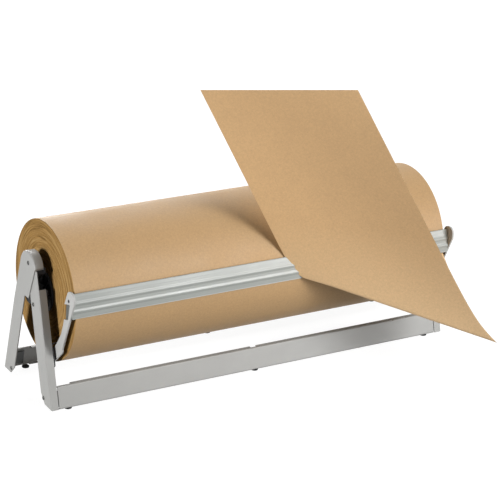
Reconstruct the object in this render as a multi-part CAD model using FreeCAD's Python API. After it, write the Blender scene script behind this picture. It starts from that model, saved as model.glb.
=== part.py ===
import FreeCAD, Part
import math
import os

# Counter-top dispenser for a roll of wrapping paper, with a sprung cutter bar.
# Millimetres. X runs along the roll, the front faces -Y and Z is up.
# Shapes are drawn with Y = 0 on the roll's axis and are moved when they are written,
# so that the part's origin lies under the middle foot of the front rail.

V = FreeCAD.Vector

# ---- paper roll ----
ROLL_LENGTH = 610.0
ROLL_RADIUS = 101.4
AXIS_HEIGHT = 151.0
CORE_INNER = 19.0
CORE_OUTER = 22.5
ROD_RADIUS = 6.3
PLUG_FLANGE_RADIUS = 30.0
PLUG_FLANGE = 2.5
PLUG_DEPTH = 26.0
HUB_RADIUS = 10.8
HUB_END = 326.4

# ---- side frames ----
SHEET = 1.5                  # pressed steel
BEND = 2.0                   # outer radius of a pressed bend
WEB_X = 330.5                # outer face of the front leg's web
FLANGE = 12.0
LEG_WIDTH = 31.0
LEG_SLOPE = 0.2811           # run of a leg per unit of height
LEG_SPREAD = 81.14           # from the axis to the legs' outer faces at the counter
LEG_BOTTOM = 3.5
HEAD_RADIUS = 25.8
HEAD = (-1.5, 188.3)          # centre of the round head
HEAD_LIP = 196.0             # height at which the head's rim ends in front
NECK = 130.0                 # height at which the rear leg's back edge turns towards the head
SHOULDER = 145.0             # height of the step under the head
SHOULDER_TIP = -4.7
NOTCH_LOW = 167.5            # notch in the front flange where the spindle enters
NOTCH_HIGH = 192.5

# ---- spindle bearings ----
RUNNING_GAP = 0.05
SLOT_FALL = 41.0             # degrees that the spindle slot falls to its seat
INSERT_WALL = 4.6
INSERT_BACK = 2.0
INSERT_X = 328.9             # outer face of the insert, against the leg's web
INSERT_FACE_X = 318.4
INSERT_LIP = 2.0

# ---- rails and feet ----
RAIL_BOTTOM = 3.0
RAIL_TOP = 34.5
RAIL_HALF = 317.3
RAIL_FLANGE = 7.5
RAIL_FLANGE_HALF = 295.5
RAIL_NOTCH = 10.0
BRACKET_SHEET = 2.0
BRACKET_INNER_X = 304.5
FOOT_RADIUS = 5.5
FOOT_SPACING = 301.5
FOOT_INSET = 73.0            # from the roll's axis to the feet's centres
RIVET_RADIUS = 3.2
RIVET_RISE = 1.2

# ---- cutter ----
PIVOT = (-45.0, 70.0)
KNEE = (-68.5, 91.8)
LIMB_RADIUS = 8.5            # half the width of the arm's lower limb
ARM_X = 313.5                # outer face of an arm
ARM_SHEET = 2.5
STUD_RADIUS = 4.0
BUSH_RADIUS = 6.0
CAP_X = -310.2
CAP_RADIUS = 7.0
WIRE = 1.8                   # the coil's section, and that of the tails
TAIL = 2.0
COIL_RADIUS = 6.6
COIL_TURNS = 2               # whole turns between the two tails
COIL_OUTER_X = -325.0
COIL_INNER_X = -316.9
HOOK = (-53.4, 93.6)         # where the spring's tail lies in the arm's knee
HOOK_LENGTH = 7.0
TAIL_LOW = 59.5              # heights between which the other tail lies on the front flange
TAIL_HIGH = 85.0
TAIL_STAND = 1.4             # from the flange's outer face to the tail's middle
BAR_SCREW = (-96.8, 173.6)
SCREW_RADIUS = 2.4
SCREW_RISE = 0.8
BAR_HALF = 310.9
BAR_INNER = 102.4            # radius of the bar's back about the roll's axis
BAR_THICK = 1.6
BAR_LOW = -1.2               # the bar's edges in degrees about the roll's axis
BAR_HIGH = 18.4
BEAD_RADIUS = 2.6
BEAD_SINK = 1.0
BEAD_ANGLES = (11.3, 6.0)
TAB = 1.6                    # thickness of the bar's end tabs

# ---- pulled sheet ----
PAPER = 0.4
SHEET_RADIUS = 101.9         # of the band between the roll and the bar
SHEET_LOW = -2.1
SHEET_HIGH = 12.0
SHEET_STEPS = 10
SHEET_EDGE_X = 304.8
TEAR_POINT = V(51.0, -107.0, 149.3)       # the strip is torn off from here to the left
BAR_CORNER = V(SHEET_EDGE_X, -104.6, 147.5)
FOLD_TIP = V(285.0, -275.0, 72.0)
SHEET_TOP_LEFT = V(-113.0, -88.4, 447.0)
SHEET_TOP_RIGHT = V(42.8, -230.7, 470.4)

COS_SLOPE = 1.0 / math.hypot(1.0, LEG_SLOPE)
LEG_RUN = LEG_WIDTH / COS_SLOPE
SHEET_RUN = SHEET / COS_SLOPE
HEAD_TOP = HEAD[1] + HEAD_RADIUS
AXIS = (0.0, AXIS_HEIGHT)
WEB_INSIDE = -WEB_X + SHEET
FLANGE_EDGE = -WEB_X + FLANGE
HEAD_RIVET = (-4.0, 198.0)
INSERT_RIVET = (-18.2, 140.8)
RAIL_RIVET = (-54.3, 12.8)


# ---- drawing helpers ----
def front_face(height):
    """Y of the front leg's front face."""
    return LEG_SLOPE * height - LEG_SPREAD


def front_back(height):
    """Y of the front leg's rear face."""
    return front_face(height) + LEG_RUN


def outline(corners):
    """Closed wire in the YZ plane through (y, z) or (y, z, radius) corners."""
    points = [V(0, corner[0], corner[1]) for corner in corners]
    edges = []
    joints = []
    for i, corner in enumerate(corners):
        radius = corner[2] if len(corner) > 2 else 0.0
        here = points[i]
        back = (points[i - 1] - here).normalize()
        ahead = (points[(i + 1) % len(points)] - here).normalize()
        half = back.getAngle(ahead) / 2.0
        start = here + back * (radius / math.tan(half))
        end = here + ahead * (radius / math.tan(half))
        if radius > 0:
            bisector = (back + ahead).normalize()
            middle = here + bisector * (radius / math.sin(half) - radius)
            edges.append(Part.Arc(start, middle, end).toShape())
        joints.append((start, end))
    for i, (start, end) in enumerate(joints):
        following = joints[(i + 1) % len(joints)][0]
        if end.distanceToPoint(following) > 1e-6:
            edges.append(Part.LineSegment(end, following).toShape())
    return Part.Wire(Part.__sortEdges__(edges))


def plate(corners, x_from, x_to):
    """Plate with an outline in the YZ plane, between two X planes."""
    solid = Part.Face(outline(corners)).extrude(V(x_to - x_from, 0, 0))
    solid.translate(V(x_from, 0, 0))
    return solid


def disc(radius, centre, x_from, x_to):
    """Round bar along X between two planes, about a (y, z) centre."""
    start = V(min(x_from, x_to), centre[0], centre[1])
    return Part.makeCylinder(radius, abs(x_to - x_from), start, V(1, 0, 0))


def box(x_from, x_to, y_from, y_to, z_from, z_to):
    """Box between pairs of planes."""
    corner = V(min(x_from, x_to), min(y_from, y_to), min(z_from, z_to))
    return Part.makeBox(abs(x_to - x_from), abs(y_to - y_from), abs(z_to - z_from), corner)


def link(first, first_radius, second, second_radius, x_from, x_to):
    """Flat bar with two round ends joined by their common tangents."""
    run = V(0, second[0] - first[0], second[1] - first[1])
    lean = math.asin((first_radius - second_radius) / run.Length)
    along = run.normalize()
    across = V(0, -along.z, along.y)
    left = across * math.cos(lean) + along * math.sin(lean)
    right = across * -math.cos(lean) + along * math.sin(lean)
    low = V(0, first[0], first[1])
    high = V(0, second[0], second[1])
    corners = [low + left * first_radius, high + left * second_radius,
               high + right * second_radius, low + right * first_radius]
    body = plate([(c.y, c.z) for c in corners], x_from, x_to)
    body = body.fuse(disc(first_radius, first, x_from, x_to))
    return body.fuse(disc(second_radius, second, x_from, x_to)).removeSplitter()


def tangent_angle(point, centre, radius, side):
    """Angle on a circle at which the line from an outside point touches it, on one side (1 or -1)."""
    run_y = point[0] - centre[0]
    run_z = point[1] - centre[1]
    return math.atan2(run_z, run_y) + side * math.acos(radius / math.hypot(run_y, run_z))


def on_circle(centre, radius, angle):
    """(y, z) of a point on a circle."""
    return (centre[0] + radius * math.cos(angle), centre[1] + radius * math.sin(angle))


def cut_all(shape, tools):
    """Shape less a list of tools."""
    for tool in tools:
        shape = shape.cut(tool)
    return shape


def fuse_all(shapes):
    """One solid from shapes that touch."""
    whole = shapes[0]
    for shape in shapes[1:]:
        whole = whole.fuse(shape)
    return whole.removeSplitter()


def round_web(blank, outer_x):
    """Blank of a pressing with the bend's radius all round its web."""
    edges = [e for e in blank.Edges if e.BoundBox.XMax < outer_x + 0.01]
    return blank.makeFillet(BEND, edges)


def mirrored(shape):
    """The right side's piece from the left side's."""
    return shape.mirror(V(0, 0, 0), V(1, 0, 0))


def turned_back(shape):
    """The rear piece from the front one."""
    return shape.mirror(V(0, 0, 0), V(0, 1, 0))


# ---- side frames ----
def front_leg():
    """Left front leg: a channel with flanges turned inwards and a round top."""
    web = -WEB_X
    top = HEAD_TOP
    blank = plate([
        (front_face(LEG_BOTTOM), LEG_BOTTOM),
        (front_back(LEG_BOTTOM) - 10.0, LEG_BOTTOM),
        (front_back(17.0), 17.0),
        (front_back(top), top),
        (front_face(top), top),
    ], web, FLANGE_EDGE)
    blank = round_web(blank, web)
    crown = box(web - 1, FLANGE_EDGE + 1, -60, 60, HEAD[1] + 4.0, top + 1)
    crown = crown.cut(disc(HEAD_RADIUS - SHEET - 0.3, HEAD, web - 2, FLANGE_EDGE + 2))
    hollow = plate([
        (front_face(0) + SHEET_RUN, 0),
        (front_back(0) - SHEET_RUN, 0),
        (front_back(top) - SHEET_RUN, top),
        (front_face(top) + SHEET_RUN, top),
    ], web + SHEET, FLANGE_EDGE + 1)
    spindle_notch = box(web + SHEET, FLANGE_EDGE + 1, -60, -20, NOTCH_LOW, NOTCH_HIGH)
    bearing_notch = box(web + SHEET, FLANGE_EDGE + 1, -20, 20, AXIS_HEIGHT - 20.0, 197.0)
    return cut_all(blank, [crown, hollow, spindle_notch, bearing_notch])


def rear_leg():
    """Left rear leg: a flange behind, and a web that widens into a round head with a rolled rim."""
    web = -WEB_X - SHEET
    lip_y = HEAD[0] - math.sqrt(HEAD_RADIUS ** 2 - (HEAD_LIP - HEAD[1]) ** 2)
    neck = (-front_face(NECK), NECK)
    touch = on_circle(HEAD, HEAD_RADIUS, tangent_angle(neck, HEAD, HEAD_RADIUS, 1))
    front = -70.0
    limb = plate([
        (-front_face(LEG_BOTTOM), LEG_BOTTOM),
        (-front_back(LEG_BOTTOM) + 10.0, LEG_BOTTOM),
        (-front_back(17.0), 17.0),
        (front, 17.0),
        (front, HEAD_LIP - 10.0),
        HEAD,
        touch,
        neck,
    ], web, FLANGE_EDGE)
    blank = round_web(limb.fuse(disc(HEAD_RADIUS, HEAD, web, FLANGE_EDGE)).removeSplitter(), web)
    inner_neck = (neck[0] - SHEET_RUN, NECK)
    inner_touch = on_circle(HEAD, HEAD_RADIUS - SHEET, tangent_angle(inner_neck, HEAD, HEAD_RADIUS - SHEET, 1))
    hollow_limb = plate([
        (-front_face(0) - SHEET_RUN, 0),
        inner_neck,
        inner_touch,
        HEAD,
        (front - 1, HEAD_LIP),
        (front - 1, 0),
    ], web + SHEET, FLANGE_EDGE + 1)
    hollow_head = disc(HEAD_RADIUS - SHEET, HEAD, web + SHEET, FLANGE_EDGE + 1)
    open_front = plate([
        (front - 1, 0),
        (-front_back(0), 0),
        (-front_back(17.0), 17.0),
        (-front_back(SHOULDER), SHOULDER),
        (SHOULDER_TIP, SHOULDER),
        (lip_y, HEAD_LIP),
        (front - 1, HEAD_LIP),
    ], web - 1, FLANGE_EDGE + 1)
    return cut_all(blank, [hollow_limb, hollow_head, open_front])


def rivet(centre, outer_x):
    """Rivet head on the outer face of a leg's web."""
    return disc(RIVET_RADIUS, centre, outer_x - RIVET_RISE, outer_x)


# ---- spindle bearings ----
def slot_bar(half_width, x_from, x_to, reach):
    """Bar that runs from the spindle's seat up the slot, round at the seat."""
    angle = math.radians(SLOT_FALL)
    far = (-reach * math.cos(angle), AXIS_HEIGHT + reach * math.sin(angle))
    across = (math.sin(angle) * half_width, math.cos(angle) * half_width)
    body = plate([
        (AXIS[0] + across[0], AXIS[1] + across[1]),
        (far[0] + across[0], far[1] + across[1]),
        (far[0] - across[0], far[1] - across[1]),
        (AXIS[0] - across[0], AXIS[1] - across[1]),
    ], x_from, x_to)
    return body.fuse(disc(half_width, AXIS, x_from, x_to)).removeSplitter()


def bearing_insert():
    """Left bearing: moulded block in the leg's head with an open slot for the hub."""
    clear = 0.2 / COS_SLOPE
    bay = plate([
        (front_face(118) + SHEET_RUN + clear, 118),
        (front_face(194.5) + SHEET_RUN + clear, 194.5),
        (60.0, 194.5),
        (60.0, 118),
    ], -INSERT_X, -INSERT_FACE_X)
    block = slot_bar(HUB_RADIUS + INSERT_WALL, -INSERT_X, -INSERT_FACE_X, 60.0).common(bay)
    foot = plate([
        (front_face(135) + SHEET_RUN + clear, 135.0, 2.0),
        (front_face(170) + SHEET_RUN + clear, 170.0),
        (-8.0, 158.0),
        (-9.0, 135.0, 2.0),
    ], -INSERT_X, -INSERT_FACE_X)
    lip_bay = plate([(front_face(118) - 1.0, 118), (front_face(197) - 1.0, 197), (60, 197), (60, 118)],
                    -INSERT_FACE_X, -INSERT_FACE_X + INSERT_LIP)
    lip = slot_bar(HUB_RADIUS + INSERT_WALL + 2.0, -INSERT_FACE_X, -INSERT_FACE_X + INSERT_LIP, 60.0)
    body = fuse_all([block, foot, lip.common(lip_bay)])
    slot = slot_bar(HUB_RADIUS + RUNNING_GAP, -INSERT_X + INSERT_BACK, -INSERT_FACE_X + INSERT_LIP + 1, 70.0)
    return body.cut(slot)


# ---- rails and feet ----
def rail():
    """Front rail: channel whose leaning face lies flush with the legs' flanges."""
    inner_slope = LEG_SLOPE * SHEET
    profile = outline([
        (front_face(RAIL_BOTTOM) + RAIL_FLANGE, RAIL_BOTTOM),
        (front_face(RAIL_BOTTOM), RAIL_BOTTOM, BEND),
        (front_face(RAIL_TOP), RAIL_TOP, BEND),
        (front_face(RAIL_TOP) + RAIL_FLANGE, RAIL_TOP),
        (front_face(RAIL_TOP) + RAIL_FLANGE, RAIL_TOP - SHEET),
        (front_face(RAIL_TOP) + SHEET_RUN - inner_slope, RAIL_TOP - SHEET, 0.5),
        (front_face(RAIL_BOTTOM) + SHEET_RUN + inner_slope, RAIL_BOTTOM + SHEET, 0.5),
        (front_face(RAIL_BOTTOM) + RAIL_FLANGE, RAIL_BOTTOM + SHEET),
    ])
    body = Part.Face(profile).extrude(V(2 * RAIL_HALF, 0, 0))
    body.translate(V(-RAIL_HALF, 0, 0))
    tools = [box(-RAIL_NOTCH / 2, RAIL_NOTCH / 2, front_face(RAIL_TOP) + 3.5, 0, 28, 38)]
    for side in (-1, 1):
        end = side * (RAIL_HALF + 1)
        cut_from = side * RAIL_FLANGE_HALF
        tools.append(box(cut_from, end, front_face(RAIL_TOP) + 3.5, 0, 28, 38))
        tools.append(box(cut_from, end, front_face(RAIL_BOTTOM) + 4.0, 0, 0, 10))
    return cut_all(body, tools)


def corner_bracket(web_face):
    """Left front corner: an angle plate against a leg's web, behind its flange and the rail."""
    back = SHEET_RUN + 0.02
    low = 6.5
    high = 28.0
    thick = BRACKET_SHEET / COS_SLOPE
    rail_limb = plate([
        (front_face(low) + back, low),
        (front_face(low) + back + thick, low),
        (front_face(high) + back + thick, high),
        (front_face(high) + back, high),
    ], web_face, -BRACKET_INNER_X)
    web_limb = plate([
        (front_face(low) + back, low),
        (-60.0, low, 2.0),
        (-50.0, 15.5, 3.0),
        (-50.0, high, 3.0),
        (front_face(high) + back, high),
    ], web_face, web_face + BRACKET_SHEET)
    return fuse_all([rail_limb, web_limb])


def foot(x):
    """Round rubber foot under the front rail."""
    return Part.makeCylinder(FOOT_RADIUS, RAIL_BOTTOM, V(x, -FOOT_INSET, 0))


# ---- cutter ----
def polar(radius, degrees):
    """(y, z) of a point in front of the roll, by radius and height angle about its axis."""
    angle = math.radians(degrees)
    return (-radius * math.cos(angle), AXIS_HEIGHT + radius * math.sin(angle))


def arm():
    """Left arm: dog-leg strap from the pivot to the bar's end, notched behind the bar."""
    outer = -ARM_X
    inner = outer + ARM_SHEET
    limb = link(PIVOT, LIMB_RADIUS, KNEE, LIMB_RADIUS, outer, inner)
    blade = plate([
        (-58.0, 93.5), (-73.6, 115.8, 30.0), (-81.5, 137.0, 20.0), (-83.3, 165.0, 12.0),
        (-94.5, 188.4, 10.5), (-113.3, 188.4, 9.5), (-112.6, 173.0), (-81.8, 104.5, 20.0), (-77.0, 93.0),
    ], outer, inner)
    body = fuse_all([limb, blade])
    notch = plate([
        (-79.5, 163.0), (-100.5, 169.8, 1.5), (-95.0, 145.1, 1.5), (-78.0, 139.5),
    ], outer - 1, inner + 1)
    return cut_all(body, [notch, disc(BUSH_RADIUS, PIVOT, outer - 1, inner + 1)])


def cutter_bar():
    """Bar along the roll: a curved strip with two raised beads and a tab at each end."""
    outer = BAR_INNER + BAR_THICK
    ring = disc(outer, AXIS, -BAR_HALF, BAR_HALF).cut(disc(BAR_INNER, AXIS, -BAR_HALF - 1, BAR_HALF + 1))
    wedge = plate([AXIS, polar(200.0, BAR_HIGH), polar(200.0, BAR_LOW)], -BAR_HALF, BAR_HALF)
    strip = ring.common(wedge)
    beads = [disc(BEAD_RADIUS, polar(outer - BEAD_SINK, angle), -BAR_HALF, BAR_HALF)
             for angle in BEAD_ANGLES]
    top_edge = disc(1.3, polar(outer - 0.6, BAR_HIGH), -BAR_HALF, BAR_HALF)
    low_edge = disc(1.0, polar(outer - 0.2, BAR_LOW + 0.4), -BAR_HALF, BAR_HALF)
    behind = disc(BAR_INNER, AXIS, -BAR_HALF - 1, BAR_HALF + 1)
    body = fuse_all([strip] + beads + [top_edge, low_edge]).cut(behind)
    tabs = []
    for side in (-1, 1):
        tabs.append(plate([
            polar(outer, BAR_HIGH - 1.0),
            polar(outer, BAR_LOW + 0.5),
            (-90.0, 138.5, 4.0),
            (-82.3, 137.0, 2.0),
            (-83.6, 164.5, 3.0),
        ], side * (BAR_HALF - TAB), side * BAR_HALF))
    return fuse_all([body] + tabs)


def pivot_stud():
    """Left pivot: plain stud on the leg's web."""
    return disc(STUD_RADIUS, PIVOT, WEB_INSIDE, CAP_X)


def pivot_cap():
    """Push-on cap at the stud's end."""
    return disc(CAP_RADIUS, PIVOT, CAP_X, CAP_X + 1.0)


def arm_bush():
    """Bush pressed into the arm, running on the stud; its outer end keeps the arm off the spring."""
    barrel = disc(BUSH_RADIUS, PIVOT, -ARM_X - 2.0, CAP_X - 0.3)
    return barrel.cut(disc(STUD_RADIUS + RUNNING_GAP, PIVOT, -ARM_X - 5, -ARM_X + 6))


def bar_between(start, end):
    """Straight length of the spring's tails, a little past both ends."""
    run = end - start
    half = TAIL / 2
    wire = Part.makeBox(TAIL, TAIL, run.Length + TAIL, V(-half, -half, -half))
    wire.Placement = FreeCAD.Placement(start, FreeCAD.Rotation(V(0, 0, 1), run))
    return wire


def arm_spring():
    """Left torsion spring: coil round the stud, a tail up the flange's edge and one behind the arm."""
    low_end = (front_face(TAIL_LOW) + TAIL_STAND, TAIL_LOW)
    high_end = (front_face(TAIL_HIGH) + TAIL_STAND, TAIL_HIGH)
    first = tangent_angle(low_end, PIVOT, COIL_RADIUS, 1)
    last = tangent_angle(HOOK, PIVOT, COIL_RADIUS, -1)
    turns = COIL_TURNS + ((last - first) / math.tau) % 1.0
    length = COIL_INNER_X - COIL_OUTER_X
    helix = Part.makeHelix(length / turns, length, COIL_RADIUS)
    half = WIRE / 2
    near = COIL_RADIUS - half
    far = COIL_RADIUS + half
    section = Part.makePolygon([V(near, 0, -half), V(far, 0, -half), V(far, 0, half),
                                V(near, 0, half), V(near, 0, -half)])
    coil = Part.Wire(helix.Edges).makePipeShell([section], True, True)
    coil.rotate(V(0, 0, 0), V(0, 1, 0), 90)
    coil.rotate(V(0, 0, 0), V(1, 0, 0), math.degrees(first) + 90.0)
    coil.translate(V(COIL_OUTER_X, PIVOT[0], PIVOT[1]))
    hook = V(COIL_INNER_X, *HOOK)
    return fuse_all([
        coil,
        bar_between(V(COIL_OUTER_X, *on_circle(PIVOT, COIL_RADIUS, first)), V(COIL_INNER_X, *low_end)),
        bar_between(V(COIL_INNER_X, *low_end), V(COIL_INNER_X, *high_end)),
        bar_between(V(COIL_INNER_X, *on_circle(PIVOT, COIL_RADIUS, last)), hook),
        bar_between(hook, hook + V(HOOK_LENGTH, 0, 0)),
    ])


# ---- roll ----
def core_plug():
    """Left core plug: plug in the core, flange against the roll and the bearing hub."""
    end = -ROLL_LENGTH / 2
    flange_face = end - PLUG_FLANGE
    flange = disc(PLUG_FLANGE_RADIUS, AXIS, flange_face, end - 0.05)
    plug = disc(CORE_INNER - 0.05, AXIS, end - 0.05, end + PLUG_DEPTH)
    hub = disc(HUB_RADIUS, AXIS, -HUB_END, flange_face)
    bore = disc(ROD_RADIUS, AXIS, -HUB_END - 1, end + PLUG_DEPTH + 1)
    return fuse_all([flange, plug, hub]).cut(bore)


def tube(outer, inner, half):
    """Tube along the roll's axis."""
    return disc(outer, AXIS, -half, half).cut(disc(inner, AXIS, -half - 1, half + 1))


def paper_strip(rows):
    """Thin solid of paper, straight between rows of (left, right) points."""
    cells = []
    for (left, right), (next_left, next_right) in zip(rows, rows[1:]):
        cells.append((left, right, next_right))
        if left != next_left:
            cells.append((left, next_right, next_left))
    normals = {}
    for cell in cells:
        normal = (cell[1] - cell[0]).cross(cell[2] - cell[0]).normalize()
        for point in cell:
            normals[tuple(point)] = normals.get(tuple(point), V(0, 0, 0)) + normal
    half = {key: V(*normal).normalize() * (PAPER / 2) for key, normal in normals.items()}
    corners = []
    sides = []
    for cell in cells:
        corners.append([point + half[tuple(point)] for point in cell])
        corners.append([point - half[tuple(point)] for point in reversed(cell)])
        sides += [(cell[i], cell[(i + 1) % 3]) for i in range(3)]
    inside = {(tuple(start), tuple(end)) for start, end in sides}
    for start, end in sides:
        if (tuple(end), tuple(start)) not in inside:
            over_start = start + half[tuple(start)]
            under_start = start - half[tuple(start)]
            over_end = end + half[tuple(end)]
            under_end = end - half[tuple(end)]
            corners.append([over_start, under_start, over_end])
            corners.append([under_start, under_end, over_end])
    faces = [Part.Face(Part.makePolygon(c + c[:1])) for c in corners]
    shell = Part.Compound(faces)
    shell.sewShape()
    return Part.Solid(shell.Shells[0])


def pulled_sheet():
    """Strip of paper pulled out under the bar, half torn off and folded up over itself."""
    rows = []
    for i in range(SHEET_STEPS + 1):
        spot = polar(SHEET_RADIUS, SHEET_HIGH + (SHEET_LOW - SHEET_HIGH) * i / SHEET_STEPS)
        rows.append((V(TEAR_POINT.x, spot[0], spot[1]), V(SHEET_EDGE_X, spot[0], spot[1])))
    rows.append((TEAR_POINT, BAR_CORNER))
    rows.append((TEAR_POINT, FOLD_TIP))
    rows.append((SHEET_TOP_LEFT, SHEET_TOP_RIGHT))
    return paper_strip(rows)


def build():
    """All nodes by name, drawn about the roll's axis."""
    nodes = {}
    pair = {
        "front_leg": front_leg(),
        "rear_leg": rear_leg(),
        "bearing_insert": bearing_insert(),
        "cutter_arm": arm(),
    }
    for name, shape in pair.items():
        nodes["left_" + name] = [shape]
        nodes["right_" + name] = [mirrored(shape)]
    groups = {
        "pivot_studs": pivot_stud(),
        "arm_springs": arm_spring(),
        "arm_bushes": arm_bush(),
        "core_plugs": core_plug(),
        "pivot_caps": pivot_cap(),
    }
    for name, shape in groups.items():
        nodes[name] = [shape, mirrored(shape)]
    front_rail = rail()
    nodes["front_rail"] = [front_rail]
    nodes["rear_rail"] = [turned_back(front_rail)]
    bracket = corner_bracket(WEB_INSIDE)
    nodes["front_corner_brackets"] = [bracket, mirrored(bracket)]
    bracket = turned_back(corner_bracket(-WEB_X))
    nodes["rear_corner_brackets"] = [bracket, mirrored(bracket)]
    places = (-FOOT_SPACING, 0.0, FOOT_SPACING)
    nodes["front_feet"] = [foot(x) for x in places]
    nodes["rear_feet"] = [turned_back(foot(x)) for x in places]
    web = -WEB_X
    rivets = {
        "head_rivets": [rivet(HEAD_RIVET, web - SHEET)],
        "bearing_rivets": [rivet(INSERT_RIVET, web)],
        "rail_rivets": [rivet(RAIL_RIVET, web), rivet((-RAIL_RIVET[0], RAIL_RIVET[1]), web - SHEET)],
    }
    for name, shapes in rivets.items():
        nodes[name] = shapes + [mirrored(r) for r in shapes]
    screw = disc(SCREW_RADIUS, BAR_SCREW, -ARM_X - SCREW_RISE, -ARM_X)
    nodes["bar_screws"] = [screw, mirrored(screw)]
    nodes["cutter_bar"] = [cutter_bar()]
    half = ROLL_LENGTH / 2
    nodes["paper_roll"] = [tube(ROLL_RADIUS, CORE_OUTER, half)]
    nodes["core_tube"] = [tube(CORE_OUTER, CORE_INNER, half)]
    nodes["spindle_rod"] = [disc(ROD_RADIUS, AXIS, -HUB_END, HUB_END)]
    nodes["pulled_sheet"] = [pulled_sheet()]
    return nodes


def write(nodes):
    """Write one STEP file per node in the part's own frame."""
    os.makedirs("parts", exist_ok=True)
    for name, shapes in nodes.items():
        solids = [solid for shape in shapes for solid in shape.Solids]
        whole = solids[0] if len(solids) == 1 else Part.makeCompound(solids)
        whole.translate(V(0, FOOT_INSET, 0))
        whole.exportStep("parts/%s.step" % name)
        print(name, len(solids), whole.isValid(), round(whole.Volume, 1))


write(build())
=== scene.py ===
"""Looks of a counter-top dispenser for wrapping paper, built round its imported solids."""

import logging
import math
from collections.abc import Sequence
from dataclasses import dataclass, field
from enum import Enum

import bmesh
import bpy
from mathutils import Matrix, Vector, noise


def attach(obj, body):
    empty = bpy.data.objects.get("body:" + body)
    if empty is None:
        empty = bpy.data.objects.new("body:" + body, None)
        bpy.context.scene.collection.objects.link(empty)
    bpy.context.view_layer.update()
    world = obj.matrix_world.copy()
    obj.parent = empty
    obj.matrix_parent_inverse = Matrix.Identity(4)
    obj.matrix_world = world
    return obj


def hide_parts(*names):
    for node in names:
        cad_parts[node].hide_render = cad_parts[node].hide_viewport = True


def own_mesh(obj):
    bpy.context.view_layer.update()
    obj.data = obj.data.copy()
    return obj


log = logging.getLogger("dispenser")
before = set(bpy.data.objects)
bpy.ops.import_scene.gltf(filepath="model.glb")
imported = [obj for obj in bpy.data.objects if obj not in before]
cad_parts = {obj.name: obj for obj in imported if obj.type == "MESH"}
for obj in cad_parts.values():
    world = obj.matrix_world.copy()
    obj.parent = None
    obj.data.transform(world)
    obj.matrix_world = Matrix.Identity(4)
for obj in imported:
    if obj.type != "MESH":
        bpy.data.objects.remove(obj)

MM = 0.001
FOOT_INSET = 73.0            # from the roll's axis to the part's origin
AXIS_HEIGHT = 151.0
MERGED = 0.0005              # points closer than this become one
RIGHT = (1.0, 0.0, 0.0)
LEFT = (-1.0, 0.0, 0.0)
UP = (0.0, 0.0, 1.0)
WHITE = (1.0, 1.0, 1.0, 1.0)
SPECULAR = "Specular IOR Level"

Point = tuple[float, float]
Profile = tuple[Point, ...]
Triple = tuple[float, float, float]
Shade = tuple[float, float, float, float]
Material = bpy.types.Material
Socket = bpy.types.NodeSocket


class Body(Enum):
    """The rigid bodies that pieces ride on."""

    STAND = "stand"
    CUTTER = "cutter"
    ROLL = "roll"


# ---- finishes ----
def tone(colour: Triple, factor: float = 1.0) -> Shade:
    """A linear colour made lighter or darker, with its fourth part."""
    return (colour[0] * factor, colour[1] * factor, colour[2] * factor, 1.0)


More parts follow.
